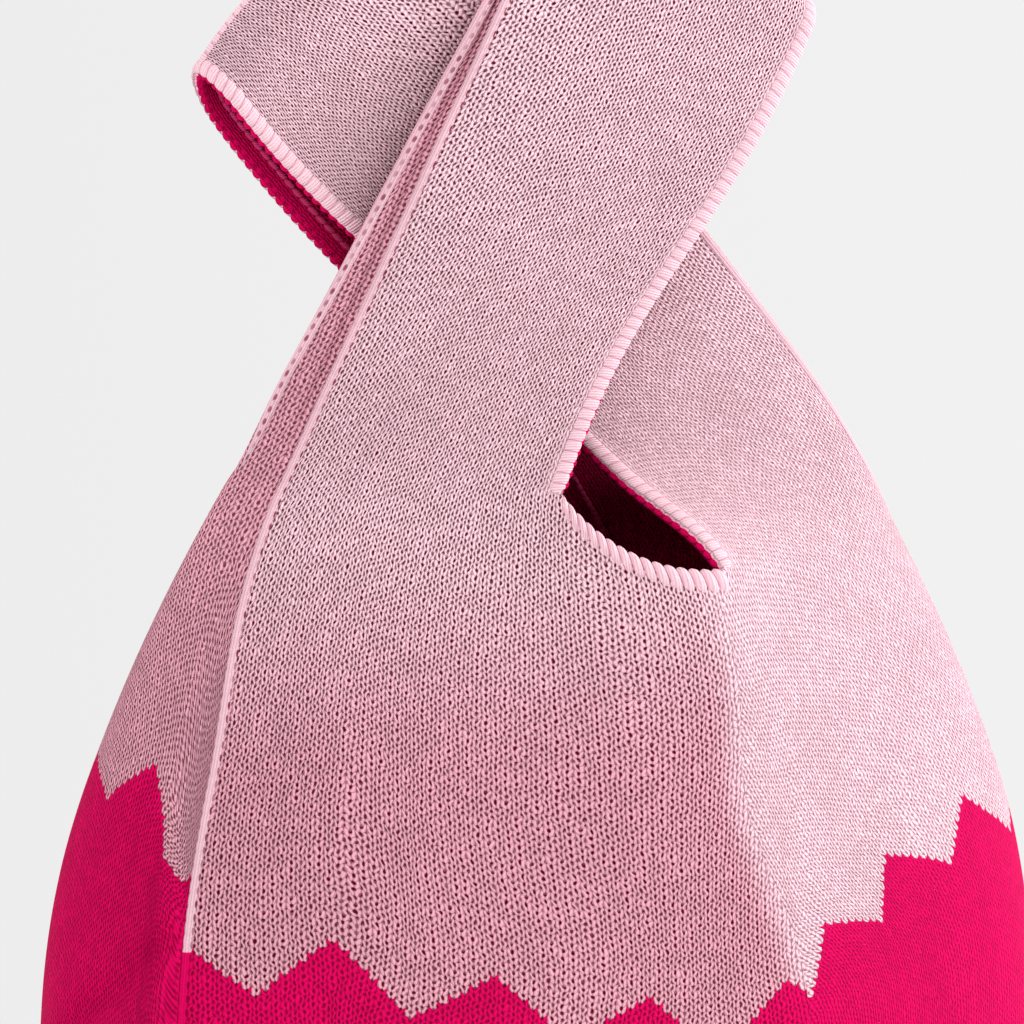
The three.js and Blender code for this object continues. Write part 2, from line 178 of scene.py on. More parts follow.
# Stitches that a fold takes up, and that the left seam takes up on the back, let out towards the rim
FOLD_STITCHES = 7
FOLD_SPREAD_STITCHES = 6
FOLD_SPREAD_ANGLE = 25
FOLD_RIM_STITCHES = 32
SEAM_STITCHES = 17.7
SEAM_SPREAD_ANGLE = 40
EASE_HEIGHTS = (158, 214)
EASE_ANGLE = 280
EASED_STITCHES = 5
LOOSE_ANGLE = 320
LOOSE_SHARE = 0.3
LOOSE_LEVEL = 148

# Colour border: its height at angles before the front fold, past it and on the back, how far from it
# the stitches lean with it, its zigzag in stitches, and its height on the side seams
FRONT_BORDER = [(-40, 115), (0, 115), (20, 115), (30, 110), (47, 104), (58, 100), (66, 100), (78, 104.5)]
FOLDED_BORDER = [
    (60, 92), (72, 106), (77, 113), (83, 120), (89, 126), (97, 132), (110, 136.5), (190, 140),
]
BACK_BORDER = [
    (170, 140), (200, 128), (225, 112), (250, 108), (280, 122), (310, 148),
    (332, 155), (342, 154), (352, 147), (359, 133), (400, 120),
]
BORDER_REACH = 16
BACK_BORDER_REACH = 7
BORDER_PERIOD = 16
BORDER_PEAK_STITCH = -1
SEAM_BORDERS = {"left": 119, "right": 139}

# Looks of the cloth: a deeper pink painted as shade below the rim and on the back, faint past the front
# fold where light falls, and how strongly its holes show in dip and painted shade
SHADE_DROP = 64
BACK_SHADE = 1
BACK_LOOKS_ANGLE = 45
FOLDED_SHADE = 0.15
FOLDED_HOLE_SHADE = 0.4
FOLD_LOOKS_ANGLE = 5
FOLD_LOOKS_START = 0.85
LOOSE_HOLE_SHADE = 0.85
STRAP_LOOKS = np.array([0, 1])
STRAP_LOOKS_RISE = 1.4
BOUND_ACROSS = 0.945
BOUND_SPREAD = 0.02
CUT_SPREAD = 0.01

# Meshes: how fine they are, small gaps that keep columns off seams, crests and the base's middle, the
# sharpest smooth edge, and the step for finding directions. A strap's columns are finer out to a share.
PANEL_COLUMNS = 200
PANEL_ROWS = 130
PANEL_INSET = 0.01
CREST_INSET = 0.005
STRAP_ROWS = 170
FINE_SHARE = 0.25
SHARE_COLUMNS = 51
BASE_COLUMNS = 161
BASE_ROWS = 48
BASE_CENTRE = 0.002
LIP_POINTS = 120
SEAM_POINTS = 160
TUBE_SIDES = 12
BEAD_STEPS = 9
FEWEST_STEPS = 4
SHARP_ANGLE = 60
PROBE = 0.1


class Roll(NamedTuple):
    """A roll of yarn along an edge, in beads of one pitch. Its pairs are along the cloth, then off it: its
    middle's place from the edge, its radii, and what a bead adds to them. Slant and phase are in beads,
    and taper is the length over which its ends thin out."""
    pitch: float
    centre: tuple
    radii: tuple
    swell: tuple
    slant: float = 0.0
    phase: float = 0.0
    taper: float = 2.0


# Rolls: how far on in its taper a roll starts, the lengths of beads, and each kind of roll
ROLL_END = 0.25
EDGE_PITCH = 2.6
LIP_PITCH = 2.9
BASE_PITCH = 1.5 * COURSE
LIP = Roll(LIP_PITCH, (0, 0.5 - CLOTH / 2), (1.9, 0.5), (1.3, 1.5))
BASE_SEAM = Roll(BASE_PITCH, (-0.6, 0.2), (1.9, 1.3), (0.15, 0.25), slant=0.3)
SIDE_SEAM = Roll(LIP_PITCH, (0, -0.35), (1.0, 0.75), (0.15, 0.15), slant=0.2)
CROWN_SEAM = Roll(EDGE_PITCH, (0, -CLOTH / 2), (1.5, 1.9), (0.2, 0.25), slant=0.2)
BOUND_EDGE = Roll(EDGE_PITCH, (-1.5, -0.25), (1.4, 0.55), (0.5, 0.3), slant=0.08, taper=EDGE_PITCH)
SOFT_EDGE = Roll(LIP_PITCH, (-1.1, -0.6), (1.2, 0.9), (0.12, 0.1), slant=0.08, taper=ROOT_EASE)
FRINGE = Roll(EDGE_PITCH, (-0.7, 0.9 - CLOTH), (0.5, 0.5), (1.05, 0.5), slant=-0.06, phase=0.5)
CHAIN = Roll(EDGE_PITCH, (-4.0, -CLOTH), (0.35, 0.35), (0.35, 0.3), slant=0.1)

# Camera
CAMERA_AZIMUTH = -22
CAMERA_ELEVATION = 5
CAMERA_DISTANCE = 1270
CAMERA_RIGHT = -8.5
CAMERA_HEIGHT = 208
CAMERA_LENS = 200
CAMERA_SENSOR = 36

# Light and floor. Lengths are in metres here, and the lights' places are to the right, up and ahead, as
# the camera sees them.
ROOM_LIGHT = 1.12
BACKDROP_LIGHT = 0.865
BACKDROP_SPAN = (0.6, 0.92)
SIDE_LIGHT = 0.18
KEY_LIGHT = 19
KEY_SIZE = 0.9
KEY_PLACE = (1.5, 0.62, 0.15)
FILL_LIGHT = 1.3
FILL_SIZE = 0.5
FILL_PLACE = (-0.45, 0.8, -0.65)
LIGHT_TARGET = (0, 0, 0.2)
FLOOR_RADIUS = 0.48
FLOOR_SIDES = 64
FLOOR_COLOUR = (0.86, 0.86, 0.865, 1)
FLOOR_ROUGHNESS = 0.9


# Curves

def hermite(t, start, end, start_slope, end_slope):
    t2 = t * t
    t3 = t2 * t
    return ((2 * t3 - 3 * t2 + 1) * start + (t3 - 2 * t2 + t) * start_slope
            + (3 * t2 - 2 * t3) * end + (t3 - t2) * end_slope)


def smooth_step(t):
    c = np.clip(t, 0, 1)
    return c * c * (3 - 2 * c)


def mix(pair, share):
    return pair[0] + (pair[1] - pair[0]) * share


def through_knots(knots, place):
    """Smooth curve through knots, pairs of a place and a value; values may be arrays."""
    places = [knot[0] for knot in knots]
    values = [np.broadcast_to(np.asarray(knot[1], float), place.shape) for knot in knots]
    last = len(knots) - 1

    def slope(i):
        before, after = max(i - 1, 0), min(i + 1, last)
        return (values[after] - values[before]) / (places[after] - places[before])

    result = np.zeros(place.shape)
    part = np.clip(np.searchsorted(places[1:-1], place), 0, last - 1)
    for i in range(last):
        span = places[i + 1] - places[i]
        t = (place - places[i]) / span
        curve = hermite(t, values[i], values[i + 1], slope(i) * span, slope(i + 1) * span)
        result = np.where(part == i, curve, result)
    return result


def within_knots(knots, place):
    """The same curve, level before its first knot and after its last."""
    return through_knots(knots, np.clip(place, knots[0][0], knots[-1][0]))


def along_line(knots, place):
    """Straight lines through knots."""
    return np.interp(place, [knot[0] for knot in knots], [knot[1] for knot in knots])


def unit(vectors):
    return vectors / np.linalg.norm(vectors, axis=-1, keepdims=True)


def lengths_along(points):
    """Length from the first row of points to each row."""
    steps = np.linalg.norm(np.diff(points, axis=0), axis=-1)
    return np.concatenate([np.zeros((1, *steps.shape[1:])), np.cumsum(steps, axis=0)])


# Surface of the sack

def across_sack(angle):
    """The angle straight across the sack, on its other panel."""
    return 360 - 2 * SEAM_ANGLE - angle


def sack_half(z, axis):
    base, belly, rim = BASE_HALF[axis], BELLY_HALF[axis], RIM_HALF[axis]
    span = RIM_HEIGHT - BELLY_HEIGHT
    lower = hermite(z / BELLY_HEIGHT, base, belly, BASE_FLARE[axis] * BELLY_HEIGHT, 0)
    upper = hermite((z - BELLY_HEIGHT) / span, belly, rim, 0, RIM_SLOPE[axis] * span)
    return np.where(z < BELLY_HEIGHT, lower, upper)


def fold_angle(z):
    """Where the front fold's crest is; the back's is straight across."""
    bend = np.exp(-((z - FOLD_BEND_HEIGHT) / FOLD_BEND_REACH) ** 2)
    return CORNER_ANGLE - FOLD_SHIFT_ANGLE - FOLD_BEND_ANGLE * bend


def fold_bump(angle, z):
    drop = np.maximum(LOW_RIM_HEIGHT - z, 0) / FOLD_DROP
    bump = 0
    for facing in (angle, across_sack(angle)):
        past = facing - fold_angle(z)
        near = (past / FOLD_NEAR_ANGLE) ** 2
        far = np.hypot(past / FOLD_FAR_ANGLE, FOLD_CREST) - FOLD_CREST
        bump = bump + FOLD_HEIGHT * np.exp(-np.where(past < 0, near, far) - drop * drop)
    return bump


def slack(angle, z):
    """Small hollows of the slack cloth, none at the rim: a crease by the left seam, and ripples."""
    from_seam = (np.mod(angle + 180, 360) - 180) * DEGREE_LENGTH
    across = (z - CREASE_LEVEL) - from_seam * CREASE_SLOPE
    crease = np.exp(-(across / CREASE_WIDTH) ** 2)
    crease = crease * smooth_step((-from_seam - CREASE_START) / CREASE_START_REACH)
    crease = crease * smooth_step((from_seam + CREASE_END) / CREASE_END_REACH)
    first, second = (
        np.sin(np.radians(angle) * turns + z * rise) for turns, rise in zip(RIPPLE_TURNS, RIPPLE_RISES)
    )
    fade = smooth_step((LOW_RIM_HEIGHT - SLACK_DROP - z) / SLACK_FADE)
    return fade * (first * second * RIPPLE - crease * CREASE_DEPTH)


def sack_points(angle, z):
    angle, z = np.broadcast_arrays(np.asarray(angle, float), np.asarray(z, float))
    width, depth = sack_half(z, 0), sack_half(z, 1)
    wander = SEAM_WANDER * smooth_step((RIM_HEIGHT - z) / SEAM_WANDER_DROP)
    turn = np.radians(SEAM_ANGLE + wander + angle)
    out = unit(np.stack([-np.cos(turn) * depth, -np.sin(turn) * width, np.zeros(z.shape)], -1))
    point = np.stack([-np.cos(turn) * width, -np.sin(turn) * depth, z], -1)
    return point + out * (fold_bump(angle, z) + slack(angle, z))[..., None]


def sack_normals(angle, z):
    probe = 0.01
    along = sack_points(angle + probe, z) - sack_points(angle - probe, z)
    up = sack_points(angle, z + probe) - sack_points(angle, z - probe)
    return unit(np.cross(along, up))


def rim_height(angle):
    notch = np.where(angle < 180, NOTCH_ANGLE, BACK_NOTCH_ANGLE)
    corner = np.where(angle < 180, CORNER_ANGLE, BACK_CORNER_ANGLE)
    from_long = np.clip((angle - corner) / (notch - corner), 0, 1)
    return LOW_RIM_HEIGHT + (RIM_HEIGHT - LOW_RIM_HEIGHT) * from_long ** MOUTH_CURVE


# Stitches of the sack, counted by the lengths round it at the belly and at the rim

ROUND_ANGLES = np.arange(-40, 400.5, 0.5)


def round_counts(z, stitches):
    lengths = lengths_along(sack_points(ROUND_ANGLES, z))
    zero = np.interp(0, ROUND_ANGLES, lengths)
    whole = np.interp(360, ROUND_ANGLES, lengths) - zero
    return (lengths - zero) / whole * stitches


BELLY_COUNTS = round_counts(BELLY_HEIGHT, BELLY_STITCHES)
RIM_COUNTS = round_counts(LOW_RIM_HEIGHT, RIM_STITCHES)


def counted(counts, angle):
    return np.interp(angle, ROUND_ANGLES, counts)


def from_left_seam(angle):
    """The same angle from 0 up."""
    return np.where(angle < 0, angle + 360, angle)


def border_at(angle, past_fold):
    front = within_knots(FRONT_BORDER, angle)
    folded = within_knots(FOLDED_BORDER, angle)
    back = within_knots(BACK_BORDER, angle)
    return np.where(angle > 180, back, np.where(past_fold, folded, front))


def eased_at(z):
    """How far the cloth by the left seam has let out its gathers on the way up to the rim."""
    return smooth_step((z - EASE_HEIGHTS[0]) / (EASE_HEIGHTS[1] - EASE_HEIGHTS[0]))


def beside_left(angle):
    """How near a place on the back is to the left seam, from 0 to 1."""
    return smooth_step((angle - EASE_ANGLE) / (LOOSE_ANGLE - EASE_ANGLE))


def gathers_at(angle, z):
    """How many stitches the left seam takes off the count on the back, let out towards the rim."""
    sewn = SEAM_STITCHES * np.sqrt(np.clip((360 - angle) / SEAM_SPREAD_ANGLE, 0, 1))
    past_loose = counted(RIM_COUNTS, np.maximum(angle, LOOSE_ANGLE)) - counted(RIM_COUNTS, LOOSE_ANGLE)
    eased = mix((SEAM_STITCHES, EASED_STITCHES), beside_left(angle))
    return mix((sewn, eased + LOOSE_SHARE * past_loose), eased_at(z))


def border_slope(angle, past_fold):
    """How far the border climbs for each millimetre round the belly."""
    probe = 0.5
    steps = counted(BELLY_COUNTS, angle + probe) - counted(BELLY_COUNTS, angle - probe)
    climb = border_at(angle + probe, past_fold) - border_at(angle - probe, past_fold)
    return climb / steps / BELLY_STITCH


def wales_at(angle, z):
    """Stitches round from the left side seam. The cloth leans with its border, and a fold or a seam
    takes up some of its stitches."""
    angle, z = np.broadcast_arrays(from_left_seam(angle), np.asarray(z, float))
    behind = angle > 180
    facing = np.where(behind, across_sack(angle), angle)
    hand = np.where(behind, -1, 1)
    past_fold = facing > fold_angle(z)
    reach = np.where(behind, BACK_BORDER_REACH, BORDER_REACH)
    rise = reach * np.tanh((z - border_at(angle, past_fold)) / reach)
    spread = smooth_step((facing - fold_angle(z)) / FOLD_SPREAD_ANGLE)
    folded = (FOLD_STITCHES + FOLD_SPREAD_STITCHES * spread) * past_fold
    belly = counted(BELLY_COUNTS, angle) - BELLY_STITCHES * behind
    belly = belly + border_slope(angle, past_fold) * rise / BELLY_STITCH + hand * folded
    lean = within_knots(RIM_LEANS, facing)
    drop = np.maximum(rim_height(angle) - z, 0)
    rim = counted(RIM_COUNTS, angle) - RIM_STITCHES * behind
    rim = rim + hand * (lean * drop / RIM_STITCH + FOLD_RIM_STITCHES * past_fold)
    gather = smooth_step((z - RIM_GATHER[0]) / (RIM_GATHER[1] - RIM_GATHER[0]))
    return mix((belly, rim), gather) - gathers_at(angle, z) * behind


def courses_at(angle, z):
    """Stitches up from the border."""
    angle = from_left_seam(angle)
    border = border_at(angle, angle > fold_angle(z))
    border = mix((border, LOOSE_LEVEL), beside_left(angle) * eased_at(z))
    return (z - border) / COURSE


def sack_looks(angle, z):
    """How deep a pink is painted on the cloth as shade, from 0 to 1, and how strongly its holes show in
    dip and painted shade, from 0 to 1. Both are weaker past the front fold, where the light falls.
    """
    below_rim = smooth_step((RIM_HEIGHT - z) / SHADE_DROP)
    past_fold = smooth_step((angle - fold_angle(z)) / FOLD_LOOKS_ANGLE + FOLD_LOOKS_START)
    front_shade = below_rim * mix((1, FOLDED_SHADE), past_fold)
    front_hole_shade = mix((1, FOLDED_HOLE_SHADE), past_fold)
    back_depth = mix((front_shade, BACK_SHADE), smooth_step((angle - 180) / BACK_LOOKS_ANGLE))
    back_hole_shade = mix((FOLDED_HOLE_SHADE, LOOSE_HOLE_SHADE), beside_left(angle))
    behind = angle > 180
    depth = np.where(behind, back_depth, front_shade)
    return np.stack([depth, np.where(behind, back_hole_shade, front_hole_shade)], -1)


# Straps: a place is a share of the width, 0 at the outer edge, and a share of the way up

ACROSS = np.concatenate([
    np.linspace(0, FINE_SHARE, SHARE_COLUMNS),
    np.linspace(FINE_SHARE, 1, SHARE_COLUMNS)[1:],
])


def crown_points(handle, across):
    crown = handle["crown"]
    turn = math.radians(crown["direction"])
    line = np.array([math.cos(turn), math.sin(turn)]) * crown["width"]
    rise = np.array([-line[1], line[0]]) / crown["width"]
    rise = rise * math.copysign(1, rise[1])
    share = along_line(handle["crown_shares"], across)[..., None]
    bow = 4 * crown["bow"] * share * (1 - share)
    return np.array([crown["x"], crown["z"]]) + line * share + rise * bow


def strap_half(handle, side, across, share):
    """Points of one half of a handle, eased so that it leaves the rim along the sack's surface."""
    angle = along_line(handle["angles"][side], across)

    def plain(share):
        start = sack_points(angle, rim_height(angle))
        end = crown_points(handle, across)
        chord = np.hypot(end[..., 0] - start[..., 0], end[..., 1] - start[..., 2])
        straight = 1 - CAP_SHARE
        quarter = np.maximum(share - straight, 0) / CAP_SHARE * math.pi / 2
        climb = np.minimum(share, straight) + CAP_SHARE * np.sin(quarter)
        rim_lean = mix(handle["rim_lean"][side], across ** 2)
        crown_lean = mix(handle["crown_lean"][side], across)
        rim_pull = chord / np.hypot(rim_lean, 1)
        crown_pull = chord / np.hypot(crown_lean, 1)
        x = hermite(climb, start[..., 0], end[..., 0], rim_lean * rim_pull, crown_lean * crown_pull)
        z = hermite(climb, start[..., 2], end[..., 1], rim_pull, crown_pull)
        away = -1 if side == "front" else 1
        curl = 1 - np.abs(1 - across) ** STRAP_CURL
        knots = [(at, away * mix((outer, inner), curl)) for at, outer, inner in handle["spread"][side]]
        knots = [(0, start[..., 1]), *knots, (straight, away * mix(handle["crown_spread"], curl))]
        y = through_knots(knots, np.minimum(climb, straight)) * np.cos(quarter)
        return np.stack([x, y, z], -1)

    probe = 0.004
    normal = sack_normals(angle, rim_height(angle))
    rise = (plain(np.full(share.shape, probe)) - plain(np.zeros(share.shape))) / probe
    speed = np.linalg.norm(rise, axis=-1)
    lift = (rise * normal).sum(-1) / speed
    length = np.minimum(share * speed, ROOT_EASE)
    ease = -lift * length * (1 - length / ROOT_EASE) ** 2
    return plain(share) + normal * ease[..., None]


def strap_looks(handle, side, across, share):
    """The looks of the sack's rim, fading up the strap to no painted shade and full holes, except outside
    a seam on the front, where the rim's painted shade stays. Stitches are closed along both edges."""
    angle = along_line(handle["angles"][side], across)
    at_rim = sack_looks(from_left_seam(angle), rim_height(angle))
    let_out = smooth_step(share * STRAP_LOOKS_RISE) * (angle >= 0)
    looks = mix((at_rim, STRAP_LOOKS), let_out[..., None])
    looks[..., 1] *= 1 - smooth_step((across - BOUND_ACROSS) / BOUND_SPREAD)
    looks[..., 1] *= smooth_step(across / CUT_SPREAD)
    return looks


def seam_column(handle):
    return np.abs(ACROSS - handle["seam"]["across"]).argmin()


def beside_seam(handle, points):
    """Distance of each point from the seam, on its outer side."""
    column = seam_column(handle)
    steps = np.linalg.norm(np.diff(points[:, :column + 1], axis=1), axis=-1)
    distance = np.zeros(points.shape[:2])
    distance[:, :column] = np.cumsum(steps[:, ::-1], axis=1)[:, ::-1]
    return distance


def run_off(handle, distance, wales):
    """Outside a seam the columns keep their distance from it, and run off the edge of the strap."""
    outer = slice(seam_column(handle), None, -1)
    for row in range(len(wales)):
        wales[row, outer] = np.interp(distance[row, outer], distance[0, outer], wales[0, outer])


def strap_grid(handle, side):
    """Points, stitch counts, looks and groove depths of one half of a handle, from rim to crown."""
    across, share = np.meshgrid(ACROSS, np.linspace(0, 1, STRAP_ROWS))
    points = strap_half(handle, side, across, share)
    lengths = lengths_along(points)
    angle = along_line(handle["angles"][side], across)
    rim = rim_height(angle)
    wales = wales_at(angle, rim)
    courses = courses_at(angle, rim) + lengths / STRAP_COURSE
    groove = np.zeros(across.shape)
    if side == handle["seam"]["side"]:
        distance = beside_seam(handle, points)
        run_off(handle, distance, wales)
        groove = GROOVE_DEPTH * np.exp(-((distance - GROOVE_PLACE) / GROOVE_HALF) ** 2)
        groove = groove * (distance > 0) * smooth_step(lengths / ROOT_EASE)
    return points, np.stack([wales, courses], -1), strap_looks(handle, side, across, share), groove


def outward_normals(points):
    normals = unit(np.cross(np.gradient(points, axis=1), np.gradient(points, axis=0)))
    middle = normals[STRAP_ROWS // 2, len(ACROSS) // 2]
    return normals * (-math.copysign(1, middle[1]))


def handle_grid(handle):
    """Points, outward normals, stitch counts and looks of a handle, from its front rim to its back."""
    halves = zip(strap_grid(handle, "front"), strap_grid(handle, "back"))
    points, stitches, looks, groove = (np.concatenate([front, back[-2::-1]]) for front, back in halves)
    points = points - outward_normals(points) * groove[..., None]
    return points, outward_normals(points), stitches, looks


# Meshes

def make_object(name, points, faces, layers, material):
    """A smooth mesh object; layers are its UV maps, by name, with a pair for each point."""
    mesh = bpy.data.meshes.new(name)
    mesh.from_pydata((points * MM).tolist(), [], faces)
    corners = np.empty(len(mesh.loops), int)
    mesh.loops.foreach_get("vertex_index", corners)
    for layer_name, values in layers.items():
        layer = mesh.uv_layers.new(name=layer_name)
        layer.data.foreach_set("uv", values.astype(np.float32)[corners].ravel())
    mesh.polygons.foreach_set("use_smooth", np.ones(len(mesh.polygons), bool))
    mesh.materials.append(material)
    piece = bpy.data.objects.new(name, mesh)
    bpy.context.scene.collection.objects.link(piece)
    return piece


def grid_quads(rows, columns):
    corner = (np.arange(rows - 1)[:, None] * columns + np.arange(columns - 1)).ravel()
    return np.stack([corner, corner + 1, corner + columns + 1, corner + columns], -1)


def faces_against(points, quad, outward):
    """Whether a quad looks against a direction."""
    facing = np.cross(points[quad[1]] - points[quad[0]], points[quad[3]] - points[quad[0]])
    return facing @ outward < 0


def sheet(name, points, normals, stitches, looks, face_depth, back_depth, material):
    """A layer of cloth between two depths under a grid of points."""
    rows, columns = points.shape[:2]
    layer = rows * columns
    face = (points - normals * face_depth).reshape(-1, 3)
    back = (points - normals * back_depth).reshape(-1, 3)
    quads = grid_quads(rows, columns)
    edge = np.concatenate([
        np.arange(columns),
        np.arange(1, rows) * columns + columns - 1,
        layer - 2 - np.arange(columns - 1),
        np.arange(rows - 2, 0, -1) * columns,
    ])
    after = np.roll(edge, -1)
    rim = np.stack([edge, edge + layer, after + layer, after], -1)
    faces = np.concatenate([quads, quads[:, ::-1] + layer, rim])
    middle = quads[len(quads) // 2]
    if faces_against(face, middle, normals.reshape(-1, 3)[middle[0]]):
        faces = faces[:, ::-1]
    layers = {
        "Stitches": np.tile(stitches.reshape(-1, 2), (2, 1)),
        "Looks": np.tile(looks.reshape(-1, 2), (2, 1)),
    }
    piece = make_object(name, np.concatenate([face, back]), faces.tolist(), layers, material)
    piece.data.set_sharp_from_angle(angle=math.radians(SHARP_ANGLE))
    return piece


def resample(path, step, *others):
    """Even places along a path, and the path and other rows of vectors at those places."""
    lengths = lengths_along(path)
    count = max(int(lengths[-1] / step), FEWEST_STEPS)
    places = np.linspace(0, lengths[-1], count)

    def at_places(rows):
        return np.stack([np.interp(places, lengths, values) for values in rows.T], -1)

    return places, [at_places(rows) for rows in (path, *others)]


def bead_roll(name, path, normals, outward, roll, material):
    """A roll of yarn along an edge, swollen into beads. Outward is along the cloth, off its edge."""
    places, (path, normals, outward) = resample(path, roll.pitch / BEAD_STEPS, normals, outward)
    normals, outward = unit(normals), unit(outward)
    turn = np.linspace(0, 2 * math.pi, TUBE_SIDES, endpoint=False)
    beads = places[:, None] / roll.pitch + roll.phase + roll.slant * np.cos(turn)
    bead = np.sqrt(np.abs(np.sin(math.pi * beads)))
    from_end = np.minimum(places, places[-1] - places)
    ends = smooth_step(from_end / roll.taper + ROLL_END)[:, None]
    over = roll.centre[0] + (roll.radii[0] + roll.swell[0] * bead) * np.cos(turn) * ends
    off = roll.centre[1] + (roll.radii[1] + roll.swell[1] * bead) * np.sin(turn) * ends
    rings = path[:, None] + outward[:, None] * over[..., None] + normals[:, None] * off[..., None]
    points = rings.reshape(-1, 3)
    side = np.arange(TUBE_SIDES)
    beside = np.roll(side, -1)
    near = np.arange(len(places) - 1)[:, None] * TUBE_SIDES
    far = near + TUBE_SIDES
    quads = np.stack([near + side, near + beside, far + beside, far + side], -1).reshape(-1, 4)
    middle = quads[len(quads) // 2]
    if faces_against(points, middle, points[middle[0]] - rings[middle[0] // TUBE_SIDES].mean(0)):
        quads = quads[:, ::-1]
    caps = [side[::-1].tolist(), (side + (len(places) - 1) * TUBE_SIDES).tolist()]
    turns = np.broadcast_to(turn / (2 * math.pi), beads.shape)
    layers = {"Stitches": np.stack([beads, turns], -1).reshape(-1, 2)}
    return make_object(name, points, quads.tolist() + caps, layers, material)


# Materials

class Graph:
    """Shader nodes of one material, wired by calls."""

    # Sockets of a mix node that hold colours
    MIX_FIRST = 6
    MIX_SECOND = 7
    MIX_RESULT = 2

    def __init__(self, name):
        self.material = bpy.data.materials.new(name)
        self.material.use_nodes = True
        self.tree = self.material.node_tree
        self.shader = self.tree.nodes["Principled BSDF"]

    def node(self, kind, inputs, **settings):
        node = self.tree.nodes.new(kind)
        for key, value in settings.items():
            setattr(node, key, value)
        for key, value in inputs.items():
            self.put(node.inputs[key], value)
        return node

    def put(self, socket, value):
        if isinstance(value, bpy.types.NodeSocket):
            self.tree.links.new(value, socket)
        else:
            socket.default_value = value

    def math(self, operation, *values):
        return self.node("ShaderNodeMath", dict(enumerate(values)), operation=operation).outputs[0]

    def ramp(self, value, low, high, start=0.0, end=1.0):
        """A value between low and high, eased to run from start to end."""
        inputs = {"Value": value, "From Min": low, "From Max": high, "To Min": start, "To Max": end}
        return self.node("ShaderNodeMapRange", inputs, interpolation_type="SMOOTHSTEP").outputs[0]

    def blend(self, factor, first, second, kind="MIX"):
        node = self.node("ShaderNodeMix", {"Factor": factor}, data_type="RGBA", blend_type=kind)
        self.put(node.inputs[self.MIX_FIRST], first)
        self.put(node.inputs[self.MIX_SECOND], second)
        return node.outputs[self.MIX_RESULT]

    def shaded(self, colour, shade):
        """A colour times a shade of grey."""
        inputs = {"Red": shade, "Green": shade, "Blue": shade}
        grey = self.node("ShaderNodeCombineColor", inputs).outputs[0]
        return self.blend(1.0, colour, grey, "MULTIPLY")

    def noise(self, vector, scale, detail):
        inputs = {"Vector": vector, "Scale": scale, "Detail": detail}
        return self.node("ShaderNodeTexNoise", inputs).outputs

    def place(self):
        return self.node("ShaderNodeTexCoord", {}).outputs["Object"]

    def layer(self, name):
        """A UV map, and its two values."""
        uv = self.node("ShaderNodeUVMap", {}, uv_map=name).outputs[0]
        parts = self.node("ShaderNodeSeparateXYZ", {"Vector": uv}).outputs
        return uv, parts[0], parts[1]

    def stripes(self, value, count=1):
        """Rounded stripes, 0 in the grooves between them."""
        return self.math("ABSOLUTE", self.math("SINE", self.math("MULTIPLY", value, count * math.pi)))

    def reach(self, first, second, halves):
        """Distance from the middle of an oval, squared: 1 on the oval."""
        wide = self.math("DIVIDE", first, halves[0])
        tall = self.math("DIVIDE", second, halves[1])
        return self.math("ADD", self.math("MULTIPLY", wide, wide), self.math("MULTIPLY", tall, tall))


def linear(red, green, blue):
    """A colour given in screen values, 0 to 255."""
    values = np.array([red, green, blue]) / 255
    values = np.where(values <= 0.04045, values / 12.92, ((values + 0.055) / 1.055) ** 2.4)
    return (*values.tolist(), 1.0)


# Colours: each set is a yarn, the painted shade in its clefts and grooves, and the painted shade in its
# holes and pits
PALE_SHADE = linear(226, 152, 170)
DEEP_SHADE = linear(200, 118, 137)
HOT_HOLE_SHADE = linear(148, 0, 48)
PALE = (linear(255, 212, 224), PALE_SHADE, linear(112, 4, 36))
# The same pale yarn painted a deeper pink as shade, with its clefts and holes
SHADED_PALE = (linear(234, 166, 183), DEEP_SHADE, linear(104, 2, 30))
HOT = (linear(220, 1, 91), linear(196, 0, 76), HOT_HOLE_SHADE)
# The lining's hot pink, painted darker than the hot yarn outside, as shade inside the bag and its loops
LINING_IN_SHADE = (linear(206, 0, 82), linear(166, 0, 60), linear(96, 0, 32))
BOUND = (linear(250, 208, 219), PALE_SHADE, linear(176, 92, 112))
DUSTY = (linear(214, 60, 118), linear(170, 10, 74), HOT_HOLE_SHADE)
PALE_RIDGE = (linear(234, 190, 202), DEEP_SHADE, linear(146, 48, 74))

# Yarn: fibres and clouds in its tone, its finish, and the relief of knit and rolls in metres. Here and
# below, a span is where a ramp starts and ends, and four values are a whole ramp.
FIBRE_SCALE = 5200.0
FIBRE_DETAIL = 3.0
FIBRE_SPAN = (0.25, 0.75)
FIBRE_SHADES = (0.86, 1.08)
FIBRE_HEIGHT = 0.22
CLOUD_SCALE = 60.0
CLOUD_DETAIL = 2.0
CLOUD_SPAN = (0.3, 0.7)
CLOUD_SHADES = (0.97, 1.03)
YARN_ROUGHNESS = 0.82
YARN_GLOSS = 0.05
KNIT_RELIEF = 0.0006
ROLL_RELIEF = 0.0002

